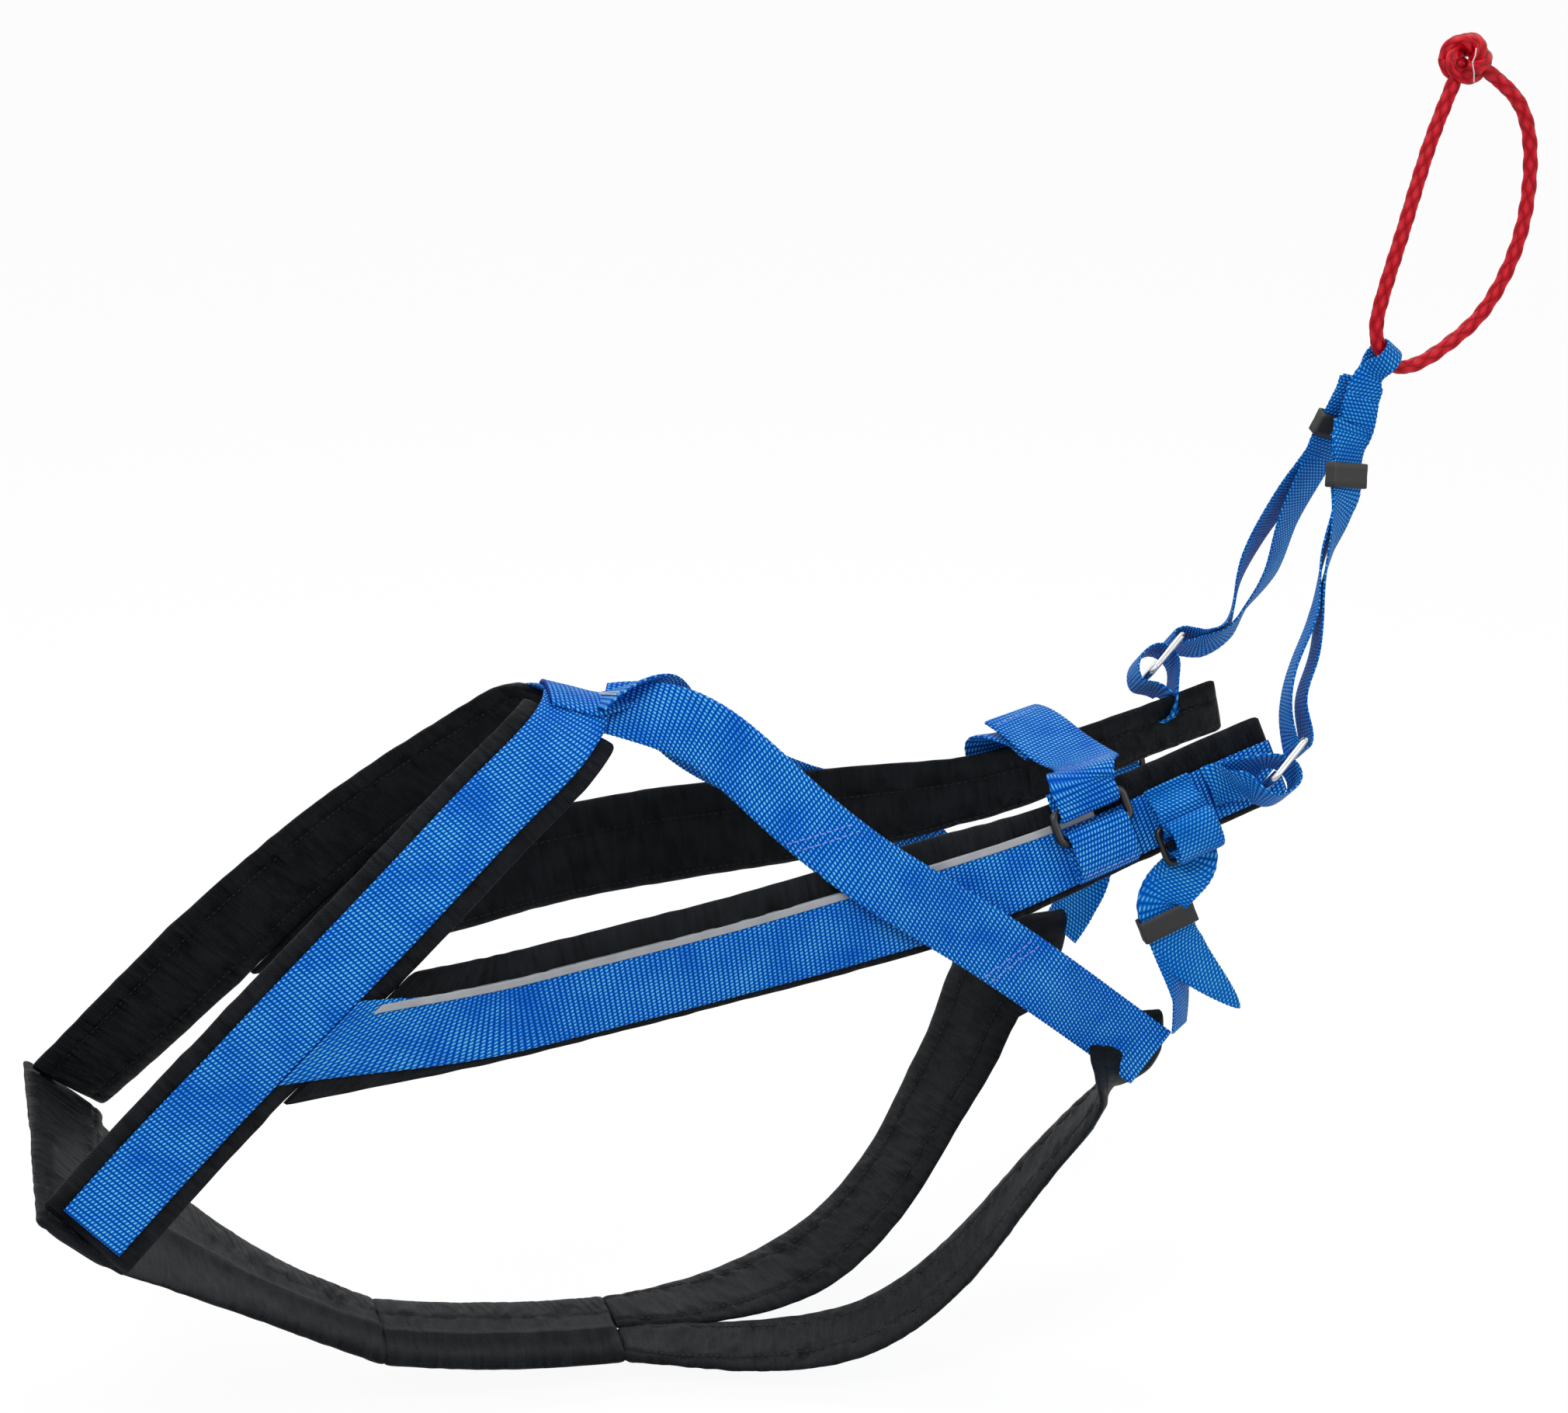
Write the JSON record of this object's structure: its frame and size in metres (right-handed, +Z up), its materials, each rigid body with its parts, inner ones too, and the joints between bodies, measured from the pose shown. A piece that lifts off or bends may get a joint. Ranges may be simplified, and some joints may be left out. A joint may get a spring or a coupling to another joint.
{
  "type": "dog pulling harness",
  "caption": "Padded sled-dog pulling harness with neck, side and rib straps, a loin strap, belly adjusters and a tug yoke with a rope loop.",
  "frame": {"origin": "withers junction of the neck and back straps, on top of the dog's back, in the mid plane", "axes": "+X toward the dog's tail, +Y toward the dog's left side, +Z up"},
  "size_m": [0.9101, 0.2299, 0.7834],
  "materials": {
    "black_nylon": "matt woven nylon over foam",
    "blue_webbing": "woven nylon webbing",
    "reflective_piping": "grey reflective tape",
    "bright_steel": "polished",
    "black_rubber": "satin",
    "black_plastic": "semi-gloss moulded",
    "hook_tape": "hook tape",
    "red_rope": "braided cord"
  },
  "bodies": {
    "harness": {"back_webbing_far": "blue_webbing", "back_webbing_near": "blue_webbing", "belly_loop_far": "blue_webbing", "belly_loop_near": "blue_webbing", "belly_slide_far": "black_plastic", "belly_slide_near": "black_plastic", "belly_strap_far": "blue_webbing", "belly_strap_near": "blue_webbing", "breast_pad": "black_nylon", "loin_anchor": "blue_webbing", "loin_ring": "black_plastic", "loin_under_strap": "blue_webbing", "neck_pad_far": "black_nylon", "neck_pad_near": "black_nylon", "neck_webbing_far": "blue_webbing", "neck_webbing_near": "blue_webbing", "rib_pad_far": "black_nylon", "rib_pad_near": "black_nylon", "rib_webbing_far": "blue_webbing", "rib_webbing_near": "blue_webbing", "side_pad_far": "black_nylon", "side_pad_near": "black_nylon", "side_piping_far": "reflective_piping", "side_piping_near": "reflective_piping", "side_webbing_far": "blue_webbing", "side_webbing_near": "blue_webbing", "sternum_front": "black_nylon", "sternum_rear": "black_nylon", "tug_tab_far": "blue_webbing", "tug_tab_near": "blue_webbing", "withers_patch": "blue_webbing"},
    "near_ring": {"tug_ring_near": "bright_steel"},
    "far_ring": {"tug_ring_far": "bright_steel"},
    "yoke": {"tug_leg_near": "blue_webbing", "tug_leg_far": "blue_webbing", "tug_eye": "blue_webbing"},
    "rope": {"tug_rope": "red_rope", "rope_knot": "red_rope"},
    "flap": {"loin_flap": "blue_webbing", "loin_hook_tape": "hook_tape"},
    "near_belly_keeper": {"belly_keeper_near": "black_rubber"},
    "far_belly_keeper": {"belly_keeper_far": "black_rubber"},
    "near_tug_keeper": {"tug_keeper_near": "black_rubber"},
    "far_tug_keeper": {"tug_keeper_far": "black_rubber"}
  },
  "joints": [
    {"name": "near_ring_swing", "type": "hinge", "parent": "harness", "child": "near_ring", "pos_m": [0.3842, -0.0774, -0.0545], "axis": [0, 0.8, -0.6], "range_deg": [-5, 20]},
    {"name": "far_ring_swing", "type": "hinge", "parent": "harness", "child": "far_ring", "pos_m": [0.3565, 0.0534, -0.0278], "axis": [0, 0.8, -0.6], "range_deg": [-5, 20]},
    {"name": "yoke_level", "type": "hinge", "parent": "near_ring", "child": "yoke", "pos_m": [0.40929, -0.06363, -0.03614], "axis": [0, 0.8, -0.6], "range_deg": [-20, 5]},
    {"name": "rope_swing", "type": "hinge", "parent": "yoke", "child": "rope", "pos_m": [0.479, 0, 0.181], "axis": [0.7507, 0, -0.6606], "range_deg": [-8, 8]},
    {"name": "loin_flap_lift", "type": "hinge", "parent": "harness", "child": "flap", "pos_m": [0.27863, -0.05977, -0.06092], "axis": [0.9556, 0.1569, 0.2494], "range_deg": [0, 100]},
    {"name": "near_belly_keeper_slide", "type": "slide", "parent": "harness", "child": "near_belly_keeper", "axis": [0.3697, 0, -0.9292], "range_m": [-0.003, 0.003]},
    {"name": "far_belly_keeper_slide", "type": "slide", "parent": "harness", "child": "far_belly_keeper", "axis": [0.3697, 0, -0.9292], "range_m": [-0.003, 0.003]},
    {"name": "near_tug_keeper_slide", "type": "slide", "parent": "yoke", "child": "near_tug_keeper", "axis": [0.1104, 0.2527, 0.9612], "range_m": [-0.002, 0.002]},
    {"name": "far_tug_keeper_slide", "type": "slide", "parent": "yoke", "child": "far_tug_keeper", "axis": [0.3154, -0.2486, 0.9158], "range_m": [-0.002, 0.002]}
  ],
  "couplings": [
    {"joint": "far_ring_swing", "follows": "near_ring_swing", "ratio": 1},
    {"joint": "yoke_level", "follows": "near_ring_swing", "ratio": -1}
  ]
}
